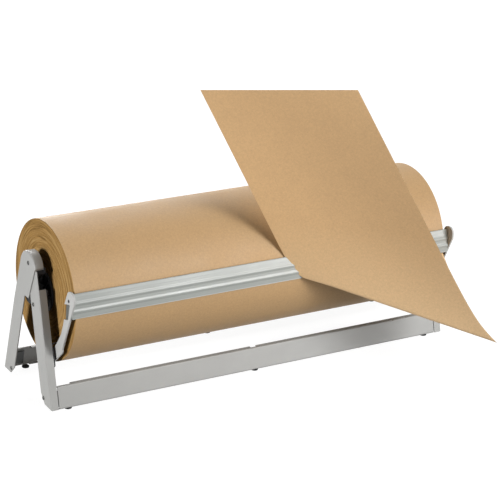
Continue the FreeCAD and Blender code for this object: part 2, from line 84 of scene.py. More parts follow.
class Board:
    """A new material with short ways to add and join its nodes."""

    def __init__(self, name: str) -> None:
        """Make the material and keep its shader.

        Args:
            name: the material's name.
        """
        self.material = bpy.data.materials.new(name)
        self.material.use_nodes = True
        self.tree = self.material.node_tree
        self.shader = self.tree.nodes["Principled BSDF"]
        self.place = self.add("ShaderNodeTexCoord").outputs["Object"]

    def add(self, kind: str, feeds: dict[str | int, object] | None = None, **settings: object) -> bpy.types.Node:
        """Add a node.

        Args:
            kind: the node's type.
            feeds: what goes into its inputs, by their names or numbers.
            settings: property names and values.

        Returns:
            The new node.
        """
        node = self.tree.nodes.new(kind)
        for name, value in settings.items():
            setattr(node, name, value)
        for name, value in (feeds or {}).items():
            self.feed(node.inputs[name], value)
        return node

    def feed(self, socket: Socket, value: object) -> None:
        """Link a socket or set its value.

        Args:
            socket: the input.
            value: another node's output, a number or a colour.
        """
        if isinstance(value, Socket):
            self.tree.links.new(value, socket)
        else:
            socket.default_value = value

    def spread(self, scale: Triple = (1.0, 1.0, 1.0), centre: Triple = (0.0, 0.0, 0.0),
               turn: Triple = (0.0, 0.0, 0.0)) -> Socket:
        """Object coordinates about a centre, turned and scaled.

        Args:
            scale: scale on each axis.
            centre: the point that becomes the origin, in metres.
            turn: rotation in radians.

        Returns:
            The vector output.
        """
        moved = self.add("ShaderNodeVectorMath", {0: self.place, 1: centre}, operation="SUBTRACT")
        feeds = {"Vector": moved.outputs[0], "Rotation": turn, "Scale": scale}
        return self.add("ShaderNodeMapping", feeds).outputs[0]

    def grain(self, vector: Socket, scale: float = 1.0, detail: float = 3.0, roughness: float = 0.5) -> Socket:
        """Noise between 0 and 1, read at a vector, with its octaves and the weight of the fine ones."""
        feeds = {"Vector": vector, "Scale": scale, "Detail": detail, "Roughness": roughness}
        return self.add("ShaderNodeTexNoise", feeds).outputs[0]

    def rescale(self, value: Socket, low: float, high: float, to_low: float = 0.0, to_high: float = 1.0) -> Socket:
        """Map the range from low to high to another one, held at its ends."""
        feeds = dict(enumerate((value, low, high, to_low, to_high)))
        return self.add("ShaderNodeMapRange", feeds).outputs[0]

    def blend(self, share: object, first: object, second: object, blend_type: str = "MIX") -> Socket:
        """Mix two colours, by the share of the second one."""
        feeds = {0: share, 6: first, 7: second}
        return self.add("ShaderNodeMix", feeds, data_type="RGBA", blend_type=blend_type).outputs[2]

    def shades(self, pattern: Socket, span: Point, base: Triple, dark: float, light: float) -> Socket:
        """A colour's dark tone below a pattern's span, and its light one above."""
        return self.stain(pattern, span, 1.0, tone(base, dark), tone(base, light))

    def stain(self, pattern: Socket, span: Point, share: float, under: object, colour: Shade) -> Socket:
        """Lay a colour over another by a pattern.

        Args:
            pattern: the values.
            span: where the colour starts and where it is full.
            share: how much of it where it is full.
            under: the colour below.
            colour: the colour on top.

        Returns:
            The colour output.
        """
        return self.blend(self.rescale(pattern, *span, 0.0, share), under, colour)

    def plus(self, first: object, second: object) -> Socket:
        """Add two values."""
        return self.add("ShaderNodeMath", {0: first, 1: second}, operation="ADD").outputs[0]

    def times(self, first: object, second: object) -> Socket:
        """Multiply two values."""
        return self.add("ShaderNodeMath", {0: first, 1: second}, operation="MULTIPLY").outputs[0]

    def relief(self, height: Socket, depth: float, strength: float) -> None:
        """Raise the surface by a pattern, with its depth in metres and the effect's strength."""
        node = self.add("ShaderNodeBump", {"Strength": strength, "Distance": depth, "Height": height})
        self.surface("Normal", node.outputs[0])

    def surface(self, socket: str, value: object) -> None:
        """Set or link one of the shader's own sockets."""
        self.feed(self.shader.inputs[socket], value)

    def coat(self, colour: object, roughness: object) -> None:
        """Give the surface its colour and roughness."""
        self.surface("Base Color", colour)
        self.surface("Roughness", roughness)


@dataclass(frozen=True)
class SatinPaint:
    """Silver-grey paint on pressed steel, with a fine skin and faint handling marks."""

    name: str = "silver_grey_paint"
    base: Triple = (0.335, 0.334, 0.322)
    cloud_scale: float = 14.0
    flake_scale: float = 2600.0
    streak_scale: Triple = (30.0, 400.0, 25.0)
    skin_scale: float = 900.0
    skin_depth: float = 0.00006
    specular: float = 0.4

    def material(self) -> Material:
        """Mix the paint.

        Returns:
            Its material.
        """
        board = Board(self.name)
        cloud = board.grain(board.place, self.cloud_scale, 4.0, 0.6)
        flake = board.grain(board.place, self.flake_scale, 1.0)
        streak = board.grain(board.spread(self.streak_scale, turn=(0.2, 0.1, 0.3)), detail=5.0, roughness=0.7)
        body = board.shades(cloud, (0.3, 0.7), self.base, 0.965, 1.03)
        flecked = board.stain(flake, (0.62, 0.8), 0.35, body, tone(self.base, 1.3))
        marked = board.stain(streak, (0.66, 0.8), 0.22, flecked, tone(self.base, 0.78))
        board.coat(marked, board.rescale(streak, 0.3, 0.75, 0.36, 0.48))
        skin = board.grain(board.place, self.skin_scale, 2.0)
        board.relief(board.plus(skin, board.times(flake, 0.35)), self.skin_depth, 0.5)
        board.surface(SPECULAR, self.specular)
        return board.material


@dataclass(frozen=True)
class DrawnMetal:
    """Rolled or drawn metal with fine lines along its length."""

    name: str
    base: Triple
    roughness: float
    metallic: float
    across: float
    lines: float = 0.45
    cloud_scale: float = 22.0
    line_depth: float = 0.00004

    def material(self) -> Material:
        """Draw the metal.

        Returns:
            Its material.
        """
        board = Board(self.name)
        line = board.grain(board.spread((3.0, self.across, self.across)), detail=6.0, roughness=0.65)
        wide = board.grain(board.spread((1.5, 60.0, 60.0)))
        cloud = board.grain(board.place, self.cloud_scale, 4.0, 0.6)
        body = board.shades(line, (0.25, 0.75), self.base, 0.9, 1.07)
        tinted = board.stain(wide, (0.35, 0.7), 0.5, body, tone(self.base, 0.93))
        dulled = board.stain(cloud, (0.45, 0.75), 0.35, tinted, tone(self.base, 0.86))
        low, high = self.roughness - 0.07, self.roughness + 0.11
        board.coat(dulled, board.rescale(board.times(line, cloud), 0.1, 0.5, low, high))
        board.relief(line, self.line_depth, self.lines)
        board.surface("Metallic", self.metallic)
        return board.material


@dataclass(frozen=True)
class Moulded:
    """Moulded plastic or rubber with a fine spark texture and a little dust."""

    name: str
    base: Triple
    roughness: float
    spark_scale: float = 1800.0
    spark_depth: float = 0.00005
    dust: Triple = (0.16, 0.15, 0.14)
    dust_scale: float = 90.0
    specular: float = 0.28

    def material(self) -> Material:
        """Mould the plastic.

        Returns:
            Its material.
        """
        board = Board(self.name)
        spark = board.grain(board.place, self.spark_scale, 2.0)
        dust = board.grain(board.place, self.dust_scale, 5.0, 0.7)
        body = board.shades(spark, (0.3, 0.7), self.base, 0.85, 1.2)
        dusty = board.stain(dust, (0.55, 0.8), 0.1, body, tone(self.dust))
        board.coat(dusty, board.rescale(dust, 0.3, 0.75, self.roughness, self.roughness + 0.15))
        board.relief(spark, self.spark_depth, 0.5)
        board.surface(SPECULAR, self.specular)
        return board.material


@dataclass(frozen=True)
class Kraft:
    """Brown wrapping paper: short fibres, darker flecks and soft clouds."""

    name: str
    base: Triple
    fleck: float = 0.5
    # painted light: the paler colour of the strip's lower part, and the heights where it starts and is full
    painted_light: Triple | None = None
    painted_light_from: float = 0.27
    painted_light_to: float = 0.12
    cloud_scale: float = 26.0
    fleck_scale: float = 820.0
    blotch_scale: float = 330.0
    fibre_depth: float = 0.00007

    def material(self) -> Material:
        """Lay the paper's fibres.

        Returns:
            Its material.
        """
        board = Board(self.name)
        cloud = board.grain(board.place, self.cloud_scale, 5.0, 0.62)
        fibre = board.grain(board.spread((260.0, 1500.0, 1500.0), turn=(0.0, 0.3, 0.5)), roughness=0.6)
        cross = board.grain(board.spread((1500.0, 300.0, 300.0), turn=(0.3, -0.4, 0.2)), roughness=0.6)
        fleck = board.grain(board.spread(turn=(0.7, 0.5, 0.9)), self.fleck_scale, 2.0, 0.65)
        blotch = board.grain(board.spread(turn=(0.4, 0.8, 0.3)), self.blotch_scale, 3.0, 0.75)
        body = board.shades(cloud, (0.3, 0.7), self.base, 0.94, 1.05)
        woven = board.shades(board.plus(fibre, cross), (0.75, 1.25), self.base, 0.88, 1.1)
        colour = board.blend(0.5, body, woven)
        colour = board.stain(blotch, (0.5, 0.72), 0.32, colour, tone(self.base, 0.72))
        colour = board.stain(blotch, (0.5, 0.28), 0.32, colour, tone(self.base, 1.28))
        colour = board.stain(fleck, (0.66, 0.76), self.fleck, colour, tone(self.base, 0.62))
        # painted light: the strip turns paler towards the counter, for the brighter light on its lower part
        if self.painted_light:
            colour = self.paint_light_low(board, cloud, colour)
        board.coat(colour, board.rescale(cloud, 0.3, 0.7, 0.55, 0.66))
        board.relief(board.plus(board.plus(fibre, cross), fleck), self.fibre_depth, 0.45)
        return board.material

    def paint_light_low(self, board: Board, cloud: Socket, colour: Socket) -> Socket:
        """Shift the colour to a paler one towards the counter: painted light, standing in for the brighter light
        on the strip's lower part.

        Args:
            board: the paper's material.
            cloud: a soft pattern that breaks the shift's line.
            colour: the paper's colour.

        Returns:
            The colour output.
        """
        parts = board.add("ShaderNodeSeparateXYZ", {0: board.place})
        height = board.plus(parts.outputs[2], board.times(cloud, 0.05))
        gain = tuple(new / old for new, old in zip(self.painted_light, self.base))
        share = board.rescale(height, self.painted_light_to, self.painted_light_from, 1.0, 0.0)
        return board.blend(share, colour, tone(gain), "MULTIPLY")


@dataclass(frozen=True)
class KraftEnds:
    """The cut edges of the wound paper: fine rings, some dark, some pale, round the roll's axis.

    Each kind of ring has its rings along the radius, its changes round the axis and its octaves.
    """

    name: str = "kraft_edges"
    pale: Triple = (0.45, 0.288, 0.119)
    mid: Triple = (0.302, 0.176, 0.061)
    dark: Triple = (0.105, 0.058, 0.022)
    fine_rings: Triple = (2600.0, 2.4, 2.0)
    band_rings: Triple = (330.0, 1.6, 3.0)
    wide_rings: Triple = (70.0, 0.8, 2.0)
    ring_depth: float = 0.0004

    def material(self) -> Material:
        """Lay the rings.

        Returns:
            Their material.
        """
        board = Board(self.name)
        about = board.spread((0.0, 1.0, 1.0), centre=(0.0, FOOT_INSET * MM, AXIS_HEIGHT * MM))
        length = board.add("ShaderNodeVectorMath", {0: about}, operation="LENGTH")
        heading = board.add("ShaderNodeVectorMath", {0: about}, operation="NORMALIZE")
        around = board.add("ShaderNodeSeparateXYZ", {0: heading.outputs[0]})
        fine, band, wide = (self.rings(board, length.outputs["Value"], around, kind)
                            for kind in (self.fine_rings, self.band_rings, self.wide_rings))
        colour = board.shades(fine, (0.35, 0.65), self.mid, 0.6, 1.35)
        colour = board.stain(band, (0.5, 0.66), 0.75, colour, tone(self.pale))
        colour = board.stain(wide, (0.55, 0.75), 0.4, colour, tone(self.dark, 1.5))
        colour = board.stain(band, (0.40, 0.33), 0.6, colour, tone(self.dark))
        board.coat(colour, 0.85)
        board.relief(board.plus(fine, board.times(band, 2.0)), self.ring_depth, 0.7)
        board.surface(SPECULAR, 0.0)
        return board.material

    def rings(self, board: Board, radius: Socket, around: bpy.types.Node, kind: Triple) -> Socket:
        """Noise that is fine along the radius and long round the axis.

        Args:
            board: the edges' material.
            radius: distance from the axis.
            around: the parts of the direction from the axis.
            kind: rings along the radius, changes round the axis and octaves.

        Returns:
            The value output.
        """
        pitch, drift, detail = kind
        turned = (board.times(output, drift) for output in around.outputs[1:])
        join = board.add("ShaderNodeCombineXYZ", dict(enumerate((board.times(radius, pitch), *turned))))
        return board.grain(join.outputs[0], detail=detail, roughness=0.6)


@dataclass(frozen=True)
class CoreBoard:
    """Spiral-wound board of the roll's core."""

    name: str = "core_board"
    base: Triple = (0.36, 0.25, 0.15)
    ply_scale: float = 16.0
    fuzz_scale: float = 700.0
    fuzz_depth: float = 0.0001

    def material(self) -> Material:
        """Wind the board.

        Returns:
            Its material.
        """
        board = Board(self.name)
        feeds = {"Vector": board.spread(turn=(0.0, 0.6, 0.5)), "Scale": self.ply_scale, "Distortion": 0.3}
        ply = board.add("ShaderNodeTexWave", feeds, wave_type="BANDS", bands_direction="X")
        fuzz = board.grain(board.place, self.fuzz_scale, 3.0, 0.6)
        seam = board.shades(ply.outputs[1], (0.0, 0.08), self.base, 0.55, 1.0)
        board.coat(board.stain(fuzz, (0.3, 0.7), 0.4, seam, tone(self.base, 1.25)), 0.88)
        board.relief(fuzz, self.fuzz_depth, 0.5)
        return board.material


Finish = SatinPaint | DrawnMetal | Moulded | Kraft | KraftEnds | CoreBoard


def made(finish: Finish) -> Material:
    """Field that holds a finish's material, made when its owner is."""
    return field(default_factory=finish.material)


@dataclass(frozen=True)
class Finishes:
    """Every finish of the dispenser, made once."""

    paint: Material = made(SatinPaint())
    # painted light: a lighter copy of the frame paint, standing in for the extra light on the arms
    arm: Material = made(SatinPaint("arm_paint_painted_light", (0.44, 0.438, 0.425)))
    bar: Material = made(DrawnMetal("rolled_bar_metal", (0.335, 0.352, 0.332), 0.30, 0.0, 500.0, 0.1))
    # painted shade: the tabs' darker metal stands for the shade in the arms' notches
    tab: Material = made(DrawnMetal("bar_tab_painted_shade", (0.11, 0.115, 0.108), 0.45, 0.3, 300.0, 0.12))
    rivet: Material = made(DrawnMetal("rivet_steel", (0.06, 0.06, 0.056), 0.36, 0.4, 500.0))
    # painted shade: the brackets' near-black stands for the shade that they sit in under the roll
    bracket: Material = made(DrawnMetal("bracket_steel_painted_shade", (0.05, 0.052, 0.05), 0.55, 0.1, 300.0))
    zinc: Material = made(DrawnMetal("zinc_plate", (0.58, 0.58, 0.56), 0.3, 0.95, 500.0))
    steel: Material = made(DrawnMetal("drawn_steel", (0.46, 0.46, 0.46), 0.3, 1.0, 1400.0))
    wire: Material = made(DrawnMetal("black_spring_wire", (0.035, 0.035, 0.038), 0.36, 0.4, 700.0))
    plastic: Material = made(Moulded("black_plastic", (0.007, 0.007, 0.008), 0.5))
    bush: Material = made(Moulded("bush_plastic", (0.045, 0.045, 0.05), 0.35, 2400.0))
    rubber: Material = made(Moulded("foot_rubber", (0.018, 0.018, 0.018), 0.65, 1200.0))
    roll: Material = made(Kraft("kraft_roll", (0.455, 0.288, 0.136)))
    # the sheet's last colour is painted light on its lower part
    sheet: Material = made(Kraft("kraft_sheet", (0.565, 0.359, 0.176), 0.4, (0.67, 0.458, 0.25)))
    ends: Material = made(KraftEnds())
    core: Material = made(CoreBoard())


# ---- shaping ----
class Workpiece:
    """A mesh in the making, in millimetres: X along the roll, Y = 0 on its axis, Z up."""

    def __init__(self) -> None:
        """Start with an empty mesh."""
        self.bm = bmesh.new()

    def turn(self, profile: Sequence[Point], origin: Triple, axis: Triple, steps: int) -> None:
        """Spin a profile about an axis.

        Args:
            profile: (distance along the axis, radius) points.
            origin: where the axis starts.
            axis: its direction.
            steps: segments of the full turn.
        """
        known = set(self.bm.verts)
        verts = [self.bm.verts.new((radius, 0.0, along)) for along, radius in profile]
        edges = [self.bm.edges.new(pair) for pair in zip(verts, verts[1:])]
        bmesh.ops.spin(self.bm, geom=verts + edges, cent=(0, 0, 0), axis=UP, dvec=(0, 0, 0),
                       angle=math.tau, steps=steps, use_merge=True, use_normal_flip=False)
        new = [v for v in self.bm.verts if v not in known]
        bmesh.ops.remove_doubles(self.bm, verts=new, dist=MERGED)
        new = [v for v in self.bm.verts if v not in known]
        turn = Vector(UP).rotation_difference(Vector(axis)).to_matrix().to_4x4()
        bmesh.ops.transform(self.bm, matrix=Matrix.Translation(origin) @ turn, verts=new)

    def plate(self, corners: Sequence[Point], x_from: float, x_to: float, edge: float = 0.0,
              rounds: dict[int, float] | None = None) -> None:
        """Flat piece with an outline in the YZ plane, pushed out along X.

        Args:
            corners: (y, z) points in order.
            x_from: first face.
            x_to: second face.
            edge: radius broken on the rim's edges.
            rounds: corner radii by the corner's number.
        """
        known = set(self.bm.verts)
        verts = [self.bm.verts.new((x_from, y, z)) for y, z in corners]
        self.bm.faces.new(verts)
        for index, radius in (rounds or {}).items():
            bmesh.ops.bevel(self.bm, geom=[verts[index]], offset=radius, offset_type="OFFSET", segments=5,
                            profile=0.5, affect="VERTICES", material=-1)
        near = next(v for v in self.bm.verts if v not in known).link_faces[0]
        made = bmesh.ops.extrude_face_region(self.bm, geom=[near], use_keep_orig=True)["geom"]
        moved = [g for g in made if isinstance(g, bmesh.types.BMVert)]
        bmesh.ops.translate(self.bm, vec=(x_to - x_from, 0, 0), verts=moved)
        if edge:
            far = next(g for g in made if isinstance(g, bmesh.types.BMFace))
            rim = list(set(near.edges) | set(far.edges))
            bmesh.ops.bevel(self.bm, geom=rim, offset=edge, segments=2, profile=0.5, affect="EDGES", material=-1)

    def both_sides(self) -> None:
        """Add the mirror image on the other side of X = 0."""
        whole = self.bm.verts[:] + self.bm.edges[:] + self.bm.faces[:]
        made = bmesh.ops.duplicate(self.bm, geom=whole)["geom"]
        verts = [g for g in made if isinstance(g, bmesh.types.BMVert)]
        faces = [g for g in made if isinstance(g, bmesh.types.BMFace)]
        bmesh.ops.scale(self.bm, vec=(-1, 1, 1), verts=verts)
        bmesh.ops.reverse_faces(self.bm, faces=faces)

    def finish(self, name: str, body: Body, material: Material, slot: str, replaces: str,
               sharp: float = 35.0) -> bpy.types.Object:
        """Turn the mesh into a piece of the dispenser.

        Args:
            name: the piece's name.
            body: what it rides on.
            material: its finish.
            slot: the record's material slot; not used.
            replaces: the solids that it stands for.
            sharp: angle in degrees above which an edge stays crisp.

        Returns:
            The new object.
        """
        bmesh.ops.recalc_face_normals(self.bm, faces=self.bm.faces[:])
        for face in self.bm.faces:
            face.smooth = True
        for edge in self.bm.edges:
            if len(edge.link_faces) == 2 and edge.calc_face_angle(0.0) > math.radians(sharp):
                edge.smooth = False
        self.bm.transform(Matrix.Scale(MM, 4) @ Matrix.Translation((0, FOOT_INSET, 0)))
        mesh = bpy.data.meshes.new(name)
        self.bm.to_mesh(mesh)
        self.bm.free()
        mesh.materials.append(material)
        piece = bpy.data.objects.new(name, mesh)
        bpy.context.scene.collection.objects.link(piece)
        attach(piece, body.value)
        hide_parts(replaces)
        log.info("%s: %d faces", name, len(mesh.polygons))
        return piece


class BentWire:
    """Round wire pushed out of a die: straight runs and bends."""

    def __init__(self, work: Workpiece, radius: float, place: Vector, heading: Vector) -> None:
        """Start with the wire's cut end.

        Args:
            work: the mesh that it is made in.
            radius: the wire's radius.
            place: centre of the end.
            heading: the way it runs.
        """
        self.bm = work.bm
        self.place = place.copy()
        self.heading = heading.normalized()
        verts = bmesh.ops.create_circle(self.bm, cap_ends=True, segments=12, radius=radius)["verts"]
        turn = Vector(UP).rotation_difference(self.heading).to_matrix().to_4x4()
        bmesh.ops.transform(self.bm, matrix=Matrix.Translation(place) @ turn, verts=verts)
        self.rim = list({edge for vert in verts for edge in vert.link_edges})

    def run(self, length: float) -> None:
        """Push a straight length.

        Args:
            length: how far.
        """
        made = bmesh.ops.extrude_edge_only(self.bm, edges=self.rim)["geom"]
        shift = self.heading * length
        moved = [g for g in made if isinstance(g, bmesh.types.BMVert)]
        bmesh.ops.translate(self.bm, vec=shift, verts=moved)
        self.rim = [g for g in made if isinstance(g, bmesh.types.BMEdge)]
        self.place += shift

    def bend(self, axis: Vector, radius: float, angle: float, steps: int, rise: float = 0.0) -> None:
        """Bend about an axis.

        Args:
            axis: unit vector.
            radius: from the axis to the wire's centre.
            angle: in radians.
            steps: segments of the bend.
            rise: travel along the axis, as in a coil.
        """
        centre = self.place + axis.cross(self.heading).normalized() * radius
        last = bmesh.ops.spin(self.bm, geom=self.rim, cent=centre, axis=axis, dvec=axis * (rise / steps),
                              angle=angle, steps=steps, use_merge=False, use_normal_flip=False)["geom_last"]
        self.rim = [g for g in last if isinstance(g, bmesh.types.BMEdge)]
        turn = Matrix.Rotation(angle, 3, axis)
        self.place = centre + turn @ (self.place - centre) + axis * rise
        self.heading = turn @ self.heading

    def corner(self, corner: Vector, after: Vector, radius: float) -> None:
        """Run to a corner and bend there.

        Args:
            corner: where the straight runs would meet.
            after: the point that the wire then heads for.
            radius: of the bend.
        """
        ahead = (after - corner).normalized()
        turn = self.heading.angle(ahead)
        self.run((corner - self.place).length - radius * math.tan(turn / 2))
        self.bend(self.heading.cross(ahead).normalized(), radius, turn, 6)

    def cut(self) -> None:
        """Close the wire's end."""
        bmesh.ops.holes_fill(self.bm, edges=self.rim)


def dress(nodes: tuple[str, ...], material: Material) -> None:
    """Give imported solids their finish.

    Args:
        nodes: names of the solids.
        material: the finish.
    """
    for name in nodes:
        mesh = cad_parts[name].data
        mesh.materials.clear()
        mesh.materials.append(material)
        log.info("%s: %s", name, material.name)


def polar(radius: float, degrees: float) -> Point:
    """(y, z) in front of the roll, by radius and height angle about its axis."""
    angle = math.radians(degrees)
    return (-radius * math.cos(angle), AXIS_HEIGHT + radius * math.sin(angle))


# ---- stand ----
@dataclass
class Stand:
    """Side frames, rails, feet and bearings."""

    finishes: Finishes
    web_x: float = 330.5
    sheet: float = 1.5
    foot_spacing: float = 301.5
    foot_radius: float = 5.5
    rail_bottom: float = 3.0
    head_rivet: Point = (-4.0, 198.0)
    bearing_rivet: Point = (-18.2, 140.8)
    rail_rivet: Point = (-54.3, 12.8)
    rivet_head: Profile = ((0.0, 0.0), (0.0, 3.1), (0.18, 3.2), (0.45, 3.05), (0.8, 2.6), (1.05, 2.0),
                           (1.15, 1.35), (1.1, 1.05), (0.4, 0.95), (0.3, 0.0))

    def build(self) -> None:
        """Dress the solids and make the small pieces."""
        dress(("left_front_leg", "right_front_leg", "left_rear_leg", "right_rear_leg",
               "front_rail", "rear_rail"), self.finishes.paint)
        # painted shade: the brackets get a near-black steel for the shade that they sit in
        dress(("front_corner_brackets", "rear_corner_brackets"), self.finishes.bracket)
        dress(("left_bearing_insert", "right_bearing_insert"), self.finishes.plastic)
        dress(("pivot_studs",), self.finishes.zinc)
        self.rivets()
        self.feet("front_rubber_feet", -FOOT_INSET, "front_feet")
        self.feet("rear_rubber_feet", FOOT_INSET, "rear_feet")

    def rivets(self) -> None:
        """Domed blind rivets with the hollow of their pulled stem."""
        inner, outer = -self.web_x, -self.web_x - self.sheet
        y, z = self.rail_rivet
        seats = {
            "head_rivets": ((self.head_rivet, outer),),
            "bearing_rivets": ((self.bearing_rivet, inner),),
            "rail_rivets": (((y, z), inner), ((-y, z), outer)),
        }
        for node, places in seats.items():
            work = Workpiece()
            for place, face in places:
                work.turn(self.rivet_head, (face, *place), LEFT, 28)
            work.both_sides()
            work.finish("dressed_" + node, Body.STAND, self.finishes.rivet, "zinc_hardware", node)

    def feet(self, name: str, y: float, node: str) -> None:
        """Round rubber feet with a neck and a hollow underside.

        Args:
            name: the piece's name.
            y: distance from the roll's axis.
            node: the solids that it stands for.
        """
        work = Workpiece()
        top = self.rail_bottom
        radius = self.foot_radius
        profile = [(0.5, 0.0), (0.5, radius - 2.0), (0.0, radius - 1.7), (0.0, radius - 0.9),
                   (0.2, radius - 0.4), (0.6, radius - 0.1), (1.4, radius), (2.0, radius),
                   (2.3, radius - 0.3), (2.4, radius - 0.9), (top, radius - 1.0), (top, 0.0)]
        for x in (-self.foot_spacing, 0.0, self.foot_spacing):
            work.turn(profile, (x, y, 0.0), UP, 32)
        work.finish(name, Body.STAND, self.finishes.rubber, "foot_rubber", node)


# ---- cutter ----
@dataclass
class Cutter:
    """Sprung bar with its arms, bushes, screws and springs; heights on the bar are angles about the roll."""

    finishes: Finishes
    pivot: Point = (-45.0, 70.0)
    arm_x: float = 313.5
    cap_x: float = 310.2
    cap_head: Profile = ((0.0, 0.0), (0.0, 6.7), (0.15, 7.0), (0.5, 7.0), (0.75, 6.6), (0.8, 5.0),
                         (0.95, 4.4), (1.0, 3.2), (0.9, 0.0))
    screw: Point = (-96.8, 173.6)
    screw_head: Profile = ((0.0, 0.0), (0.0, 2.3), (0.2, 2.4), (0.5, 2.2), (0.72, 1.7), (0.8, 1.1),
                           (0.3, 0.9), (0.2, 0.0))
    bar_half: float = 310.9
    bar_radius: float = 104.0
    bar_sheet: float = 1.2
    bar_low: float = -1.2
    bar_high: float = 18.4
    bar_steps: int = 110
    beads: Point = (10.7, 4.6)
    bead_half: float = 2.3
    bead_rise: float = 1.25
    lip_width: float = 0.7
    lip_rise: float = 0.3
    tab_sheet: float = 1.6
    tab_steps: int = 9
    tab_back: Profile = ((-90.0, 138.5), (-82.3, 137.0), (-83.6, 164.5))
    tab_rounds: Triple = (4.0, 2.0, 3.0)
    # painted shade reaches the tabs' flat faces behind this
    painted_shade_front: float = -97.5
    coil_radius: float = 6.6
    coil_turns: int = 2
    coil_steps: int = 96
    coil_outer: float = -325.0
    coil_inner: float = -316.9
    wire: float = 0.9
    hook: Point = (-53.4, 93.6)
    hook_length: float = 7.0
    hook_bend: float = 1.6
    flange_low: Point = (-63.0, 59.5)
    flange_high: Point = (-55.8, 85.0)
    flange_bend: float = 3.0

    def build(self) -> None:
        """Dress the solids and make the small pieces."""
        # painted light: the arms get the lighter copy of the frame paint
        dress(("left_cutter_arm", "right_cutter_arm"), self.finishes.arm)
        dress(("arm_bushes",), self.finishes.bush)
        self.bar()
        self.caps()
        self.screws()
        self.springs()

    def bar_face(self, angle: float) -> float:
        """Radius of the bar's face: round, with two pressed beads and turned-out lips.

        Args:
            angle: height angle in degrees.

        Returns:
            The distance from the roll's axis.
        """
        rise = 0.0
        for centre in self.beads:
            away = abs(angle - centre) / self.bead_half
            if away < 1.0:
                rise += self.bead_rise * (0.5 + 0.5 * math.cos(math.pi * away))
        for lip in (self.bar_low, self.bar_high):
            rise += self.lip_rise * max(0.0, 1.0 - abs(angle - lip) / self.lip_width) ** 2
        return self.bar_radius + rise

    def bar(self) -> None:
        """Pressed bar with two beads, and the tabs that join its ends to the arms."""
        work = Workpiece()
        reach = self.bar_high - self.bar_low
        angles = [self.bar_low + reach * i / self.bar_steps for i in range(self.bar_steps + 1)]
        line = [polar(self.bar_face(angle), angle) for angle in angles]
        line += [polar(self.bar_face(angle) - self.bar_sheet, angle) for angle in reversed(angles)]
        work.plate(line, -self.bar_half, self.bar_half)
        middle = self.bar_radius - self.bar_sheet / 2
        tab = [polar(middle, self.bar_high - 1.0 - 2.0 * i) for i in range(self.tab_steps)]
        tab += self.tab_back
        rounds = {self.tab_steps + i: radius for i, radius in enumerate(self.tab_rounds)}
        for side in (-1, 1):
            work.plate(tab, side * (self.bar_half - self.tab_sheet), side * self.bar_half, 0.3, rounds)
        # painted shade: the tabs' flat side faces towards the back get the darker tab metal, for the shade in the
        # arms' notches
        work.bm.normal_update()
        for face in work.bm.faces:
            if abs(face.normal.x) > 0.9 and face.calc_center_median().y > self.painted_shade_front:
                face.material_index = 1
        piece = work.finish("dressed_cutter_bar", Body.CUTTER, self.finishes.bar, "bar_steel", "cutter_bar", 40.0)
        piece.data.materials.append(self.finishes.tab)

    def caps(self) -> None:
        """Push-on caps at the studs' ends."""
        work = Workpiece()
        work.turn(self.cap_head, (-self.cap_x, *self.pivot), RIGHT, 40)
        work.both_sides()
        work.finish("dressed_pivot_caps", Body.STAND, self.finishes.zinc, "zinc_hardware", "pivot_caps")

    def screws(self) -> None:
        """Low dark heads with a driver's recess."""
        work = Workpiece()
        work.turn(self.screw_head, (-self.arm_x, *self.screw), LEFT, 28)
        work.both_sides()
        work.finish("dressed_bar_screws", Body.CUTTER, self.finishes.wire, "black_oxide", "bar_screws")

    def springs(self) -> None:
        """Torsion springs: a coil round the stud, one tail up the leg's flange, one hooked behind the arm."""
        work = Workpiece()
        pivot = Vector((0.0, *self.pivot))
        high = Vector((self.coil_inner, *self.flange_high))
        low = Vector((self.coil_inner, *self.flange_low))
        hook = Vector((self.coil_inner, *self.hook))
        start = pivot + self.tangent_spot(low - pivot, 1) + Vector(RIGHT) * self.coil_outer
        end = pivot + self.tangent_spot(hook - pivot, -1) + Vector(RIGHT) * self.coil_inner
        wire = BentWire(work, self.wire, high, low - high)
        wire.corner(low, start, self.flange_bend)
        wire.run((start - wire.place).length)
        first = (start - pivot).yz
        last = (end - pivot).yz
        part = (math.atan2(last.y, last.x) - math.atan2(first.y, first.x)) % math.tau
        swept = math.tau * self.coil_turns + part
        wire.bend(Vector(RIGHT), self.coil_radius, swept, self.coil_steps, self.coil_inner - self.coil_outer)
        wire.heading = (hook - wire.place).normalized()
        toe = hook + Vector(RIGHT) * self.hook_length
        wire.corner(hook, toe, self.hook_bend)
        wire.run((toe - wire.place).length)
        wire.cut()
        work.both_sides()
        work.finish("dressed_arm_springs", Body.STAND, self.finishes.wire, "black_oxide", "arm_springs", 50.0)

    def tangent_spot(self, away: Vector, side: int) -> Vector:
        """Point of the coil where a straight tail from outside touches it.

        Args:
            away: from the coil's centre to the tail's far end.
            side: 1 or -1, the sense in which the tail meets the coil.

        Returns:
            The point from the coil's centre.
        """
        reach = math.hypot(away.y, away.z)
        angle = math.atan2(away.z, away.y) + side * math.acos(self.coil_radius / reach)
        return Vector((0.0, math.cos(angle), math.sin(angle))) * self.coil_radius


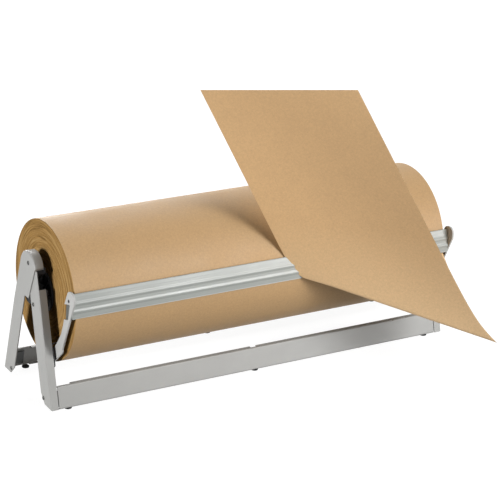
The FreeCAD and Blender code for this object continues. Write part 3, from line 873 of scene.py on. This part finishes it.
# ---- roll ----
@dataclass
class Roll:
    """Wound paper on its core, plugs and rod."""

    finishes: Finishes
    length: float = 610.0
    radius: float = 101.4
    core_outer: float = 22.5
    rings: int = 84
    sides: int = 192
    rim_step: float = 0.35
    rod_radius: float = 6.3
    hub_radius: float = 10.8
    hub_end: float = 326.4
    plug_radius: float = 18.95
    plug_end: float = 280.0
    flange_radius: float = 30.0
    flange: float = 2.5
    ribs: int = 8
    rib_half: float = 0.8
    rib_rise: float = 1.4
    rib_lean: float = 3.2

    def build(self) -> None:
        """Dress the solids and wind the paper."""
        dress(("core_tube",), self.finishes.core)
        dress(("spindle_rod",), self.finishes.steel)
        self.plugs()
        self.paper()

    def plugs(self) -> None:
        """Flanged core plugs with a bearing hub, stiffened by ribs."""
        work = Workpiece()
        axis = (0.0, 0.0, AXIS_HEIGHT)
        hub, rod, rim, plug = self.hub_radius, self.rod_radius, self.flange_radius, self.plug_radius
        face = -self.length / 2 - self.flange
        back = face + self.flange
        work.turn([(-self.hub_end, rod), (-self.hub_end, hub - 1.0), (-self.hub_end + 1.0, hub),
                   (face - 1.0, hub), (face - 0.4, hub + 0.6), (face, hub + 1.6), (face, rim - 4.0),
                   (face - 0.5, rim - 3.4), (face - 0.5, rim - 0.6), (face + 0.1, rim), (back, rim),
                   (back, plug), (-self.plug_end, plug), (-self.plug_end + 1.0, plug - 0.75),
                   (-self.plug_end + 1.0, rod), (-self.hub_end, rod)], axis, RIGHT, 64)
        near, far, half = hub - 0.4, rim - 5.0, self.rib_half
        for index in range(self.ribs):
            known = set(work.bm.verts)
            work.plate([(near, -half), (far, -half), (far, half), (near, half)],
                       face + 0.3, face - self.rib_rise, 0.25)
            new = [v for v in work.bm.verts if v not in known]
            lean = [v for v in new if v.co.x < face - 0.6 and v.co.y < hub + 1.5]
            bmesh.ops.translate(work.bm, vec=(-self.rib_lean, 0.0, 0.0), verts=lean)
            turn = Matrix.Rotation(math.tau * index / self.ribs, 4, "X")
            bmesh.ops.transform(work.bm, matrix=Matrix.Translation(axis) @ turn, verts=new)
        work.both_sides()
        work.finish("dressed_core_plugs", Body.ROLL, self.finishes.plastic, "black_plastic", "core_plugs")

    def end_step(self, radius: float, side: int) -> float:
        """How far the turns at a radius stand back from the roll's end.

        Args:
            radius: of the turns.
            side: -1 at the left end, 1 at the right.

        Returns:
            The step in millimetres.
        """
        wave = noise.noise(Vector((radius * 0.21, side * 7.0, 0.0)))
        fine = noise.noise(Vector((radius * 1.3, side * 3.0, 5.0)))
        rim = 0.315 if radius > self.radius - 2.2 else 0.0
        return 0.45 + 0.35 * wave + 0.22 * fine + rim

    def paper(self) -> None:
        """Wound paper with uneven turns at both ends."""
        work = Workpiece()
        half = self.length / 2
        depth = self.radius - 0.5 - self.core_outer
        radii = [self.core_outer + depth * i / self.rings for i in range(self.rings + 1)]
        left = [(-half + self.end_step(r, -1), r) for r in radii]
        right = [(half - self.end_step(r, 1), r) for r in reversed(radii)]
        outer = [(x, self.radius) for x in (-half + self.rim_step, -half / 2, 0.0, half / 2, half - self.rim_step)]
        profile = left + outer + right + [left[0]]
        work.turn(profile, (0.0, 0.0, AXIS_HEIGHT), RIGHT, self.sides)
        bmesh.ops.recalc_face_normals(work.bm, faces=work.bm.faces[:])
        for face in work.bm.faces:
            if abs(face.normal.x) > 0.5:
                face.material_index = 1
        piece = work.finish("wound_paper", Body.ROLL, self.finishes.roll, "kraft_roll", "paper_roll", 60.0)
        piece.data.materials.append(self.finishes.ends)


# ---- sheet ----
@dataclass
class PulledSheet:
    """Strip of paper drawn out under the bar, half torn off and folded up over itself.

    Its corners are the tear's end and the right corner under the bar, the fold's free tip, and the two corners of
    the cut end. A place on it has u, from 0 on the torn edge to 1 on the right one, and a share or row along it.
    """

    finishes: Finishes
    tear: Triple = (54.3, -107.0, 149.8)
    bar_corner: Triple = (302.2, -104.6, 147.5)
    tip: Triple = (288.0, -275.0, 70.9)
    top_left: Triple = (-117.3, -88.0, 447.0)
    top_right: Triple = (41.8, -231.8, 470.4)
    curl: tuple[Point, Point] = ((-0.05, 37.0), (0.93, 17.0))
    hang: Triple = (1.0, 12.0, -28.0)
    hollow: Triple = (7.5, 8.7, 3.5)
    band_radius: float = 101.9
    band_low: float = -2.1
    band_high: float = 12.0
    band_row: float = 0.7
    fold: float = 7.0
    columns: int = 60
    thickness: float = 0.25
    flat: Point = (0.251, 0.687)

    def lip(self, u: float) -> Vector:
        """Point on the line where the strip leaves the bar."""
        return Vector(self.tear).lerp(Vector(self.bar_corner), u)

    def crease(self, u: float) -> Vector:
        """Point on the fold's line."""
        return Vector(self.tear).lerp(Vector(self.tip), u)

    def low(self, u: float, s: float) -> Vector:
        """Point of the lower layer, which hangs a little.

        Args:
            u: place across the strip.
            s: 0 at the bar to 1 at the fold.

        Returns:
            The point, in millimetres.
        """
        lip, crease = self.lip(u), self.crease(u)
        middle = lip.lerp(crease, 0.5) + Vector(self.hang) * u
        return lip.lerp(middle, s).lerp(middle.lerp(crease, s), s)

    def high(self, u: float, s: float) -> Vector:
        """Point of the upper layer, whose edges curl next to the fold.

        Args:
            u: place across the strip.
            s: 0 at the fold to 1 at the cut end.

        Returns:
            The point, in millimetres.
        """
        (left, left_pull), (right, right_pull) = self.curl
        foot = self.crease(left + (right - left) * u)
        pull = (self.crease(u) - foot) * math.exp(-s * (left_pull + (right_pull - left_pull) * u))
        end = Vector(self.top_left).lerp(Vector(self.top_right), u)
        dent = Vector(self.hollow) * (math.sin(math.pi * u) * math.sin(math.pi * s))
        return foot.lerp(end, s) + pull + dent

    def at(self, u: float, row: float) -> Vector:
        """Point of the strip.

        Args:
            u: place across the strip.
            row: 0 under the bar, 1 at its lip, 2 at the fold and 3 at the cut end.

        Returns:
            The point, in millimetres.
        """
        if row < 1.0:
            share = min(row / self.band_row, 1.0)
            angle = self.band_high + (self.band_low - self.band_high) * share
            wrapped = Vector((self.lip(u).x, *polar(self.band_radius, angle)))
            return wrapped.lerp(self.low(u, 0.0), max(0.0, (row - self.band_row) / (1.0 - self.band_row)))
        crease = self.crease(u)
        below = max((self.low(u, 0.0) - crease).length, 1e-6)
        above = (self.high(u, 1.0) - crease).length
        reach = min(self.fold * min(1.0, u * 6 + 0.05), below * 0.45)
        away = (row - 2.0) * (below if row < 2.0 else above)
        if abs(away) >= reach:
            return self.low(u, row - 1.0) if row < 2.0 else self.high(u, row - 2.0)
        share = (away + reach) / (2 * reach)
        first = self.low(u, 1.0 - reach / below)
        last = self.high(u, reach / above)
        return first.lerp(crease, share).lerp(crease.lerp(last, share), share)

    def rows(self) -> list[float]:
        """Rows of the grid, closer together round the fold.

        Returns:
            Their values in order.
        """
        band = [i * 0.1 for i in range(7)] + [self.band_row, 0.85]
        lower = [1.0 + 0.9 * i / 24 for i in range(25)]
        close = [1.9 + 0.12 * i / 24 for i in range(1, 25)]
        upper = [2.02 + 0.98 * i / 60 for i in range(1, 61)]
        return band + lower + close + upper

    def build(self) -> None:
        """Lay the strip on a grid and give it its thickness."""
        rows = self.rows()
        work = Workpiece()
        bmesh.ops.create_grid(work.bm, x_segments=self.columns, y_segments=len(rows) - 1, size=0.5)
        for vert in work.bm.verts:
            index = round((vert.co.y + 0.5) * (len(rows) - 1))
            vert.co = self.at(vert.co.x + 0.5, rows[index])
        bmesh.ops.remove_doubles(work.bm, verts=work.bm.verts[:], dist=MERGED)
        area = sum(face.calc_area() for face in work.bm.faces) * MM * MM
        piece = work.finish("pulled_strip", Body.STAND, self.finishes.sheet, "kraft_sheet", "pulled_sheet", 180.0)
        skin = piece.modifiers.new("paper", "SOLIDIFY")
        skin.thickness = self.thickness * MM
        skin.offset = 0.0
        rim = piece.modifiers.new("flat rim", "WEIGHTED_NORMAL")
        rim.weight = 100
        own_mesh(piece)
        log.info("pulled_strip: flat area %.4f m2", area)


# ---- surroundings ----
def seen_directly(tree: bpy.types.NodeTree) -> Socket:
    """Value that is 1 for rays from the camera, from gloss and through glass, and 0 for the rest.

    Args:
        tree: the nodes that it joins.

    Returns:
        The value output.
    """
    path = tree.nodes.new("ShaderNodeLightPath")
    share = path.outputs["Is Camera Ray"]
    for ray in ("Is Glossy Ray", "Is Transmission Ray"):
        most = tree.nodes.new("ShaderNodeMath")
        most.operation = "MAXIMUM"
        tree.links.new(share, most.inputs[0])
        tree.links.new(path.outputs[ray], most.inputs[1])
        share = most.outputs[0]
    return share


@dataclass(frozen=True)
class Lamp:
    """Square soft lamp that faces the dispenser, in metres and watts."""

    name: str
    place: Triple
    size: float
    power: float
    aim: Triple = (0.0, 0.07, 0.15)

    def hang(self) -> None:
        """Put the lamp in its place."""
        data = bpy.data.lights.new(self.name, "AREA")
        data.shape = "SQUARE"
        data.size = self.size
        data.energy = self.power
        lamp = bpy.data.objects.new(self.name, data)
        turn = (Vector(self.aim) - Vector(self.place)).to_track_quat("-Z", "Y").to_matrix().to_4x4()
        lamp.matrix_world = Matrix.Translation(self.place) @ turn
        bpy.context.scene.collection.objects.link(lamp)


@dataclass
class Studio:
    """Floor, lamps, world and camera."""

    azimuth: float = -31.019
    elevation: float = 21.817
    roll: float = 2.82
    distance: float = 2.85661
    target: Triple = (0.025766, 0.073, 0.155013)
    lens: float = 139.01
    shift: Point = (0.0009, 0.0043)
    floor_size: float = 6.0
    floor_drop: float = 0.0002
    floor_grey: Shade = (0.13, 0.13, 0.13, 1.0)
    floor_glow: float = 0.92
    world_light: float = 0.03
    lamps: tuple[Lamp, ...] = (
        Lamp("left_lamp", (-2.4, -0.3, 0.5), 0.55, 48.0),
        Lamp("front_lamp", (0.85, -1.75, 1.23), 0.9, 36.0),
        Lamp("low_lamp", (1.3, -2.05, 0.3), 0.9, 25.0),
        Lamp("top_lamp", (0.3, 1.6, 1.9), 1.0, 30.0),
        Lamp("rear_lamp", (0.3, 2.5, 0.6), 1.0, 26.0),
        Lamp("right_lamp", (2.4, 0.6, 0.6), 1.0, 18.0),
    )

    def build(self) -> None:
        """Set up everything round the dispenser."""
        self.camera()
        self.floor()
        self.world()
        for lamp in self.lamps:
            lamp.hang()
        bpy.context.scene.view_settings.view_transform = "Standard"

    def camera(self) -> None:
        """Long lens from the front left, above."""
        a, e, r = (math.radians(x) for x in (self.azimuth, self.elevation, self.roll))
        back = Vector((math.sin(a) * math.cos(e), -math.cos(a) * math.cos(e), math.sin(e)))
        right = Vector((math.cos(a), math.sin(a), 0.0))
        up = back.cross(right)
        across = right * math.cos(r) + up * math.sin(r)
        upright = up * math.cos(r) - right * math.sin(r)
        data = bpy.data.cameras.new("camera")
        data.lens = self.lens
        data.sensor_width = 36.0
        data.shift_x, data.shift_y = self.shift
        data.clip_end = 50.0
        camera = bpy.data.objects.new("camera", data)
        turn = Matrix((across, upright, back)).transposed().to_4x4()
        camera.matrix_world = Matrix.Translation(Vector(self.target) + back * self.distance) @ turn
        bpy.context.scene.collection.objects.link(camera)
        bpy.context.scene.camera = camera

    def floor(self) -> None:
        """Pale floor that shows white to the camera but keeps the shadow."""
        work = bmesh.new()
        bmesh.ops.create_grid(work, x_segments=1, y_segments=1, size=self.floor_size)
        mesh = bpy.data.meshes.new("floor")
        work.to_mesh(mesh)
        work.free()
        floor = bpy.data.objects.new("floor", mesh)
        floor.location.z = -self.floor_drop
        bpy.context.scene.collection.objects.link(floor)
        board = Board("floor")
        board.coat(self.floor_grey, 0.9)
        plain = board.shader.outputs[0]
        glow = board.add("ShaderNodeEmission", {"Color": WHITE, "Strength": self.floor_glow})
        both = board.add("ShaderNodeAddShader", {0: plain, 1: glow.outputs[0]})
        pick = board.add("ShaderNodeMixShader", {0: seen_directly(board.tree), 1: plain, 2: both.outputs[0]})
        board.feed(board.tree.nodes["Material Output"].inputs["Surface"], pick.outputs[0])
        mesh.materials.append(board.material)

    def world(self) -> None:
        """White surroundings for the camera, softer light for the object."""
        world = bpy.data.worlds.new("studio")
        bpy.context.scene.world = world
        world.use_nodes = True
        tree = world.node_tree
        light = tree.nodes["Background"]
        white = tree.nodes.new("ShaderNodeBackground")
        for node, strength in ((light, self.world_light), (white, 1.0)):
            node.inputs["Color"].default_value = WHITE
            node.inputs["Strength"].default_value = strength
        pick = tree.nodes.new("ShaderNodeMixShader")
        tree.links.new(seen_directly(tree), pick.inputs[0])
        tree.links.new(light.outputs[0], pick.inputs[1])
        tree.links.new(white.outputs[0], pick.inputs[2])
        tree.links.new(pick.outputs[0], tree.nodes["World Output"].inputs["Surface"])


def corners(box: tuple[Vector, Vector]) -> list[list[float]]:
    """A box as plain lists."""
    return [list(box[0]), list(box[1])]


def main() -> None:
    """Build the dispenser and its surroundings."""
    logging.basicConfig(level=logging.INFO, format="%(message)s")
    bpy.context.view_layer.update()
    finishes = Finishes()
    Studio().build()
    for part in (Stand(finishes), Cutter(finishes), Roll(finishes), PulledSheet(finishes)):
        part.build()
        log.info("%s built", type(part).__name__)


if __name__ == "__main__":
    main()
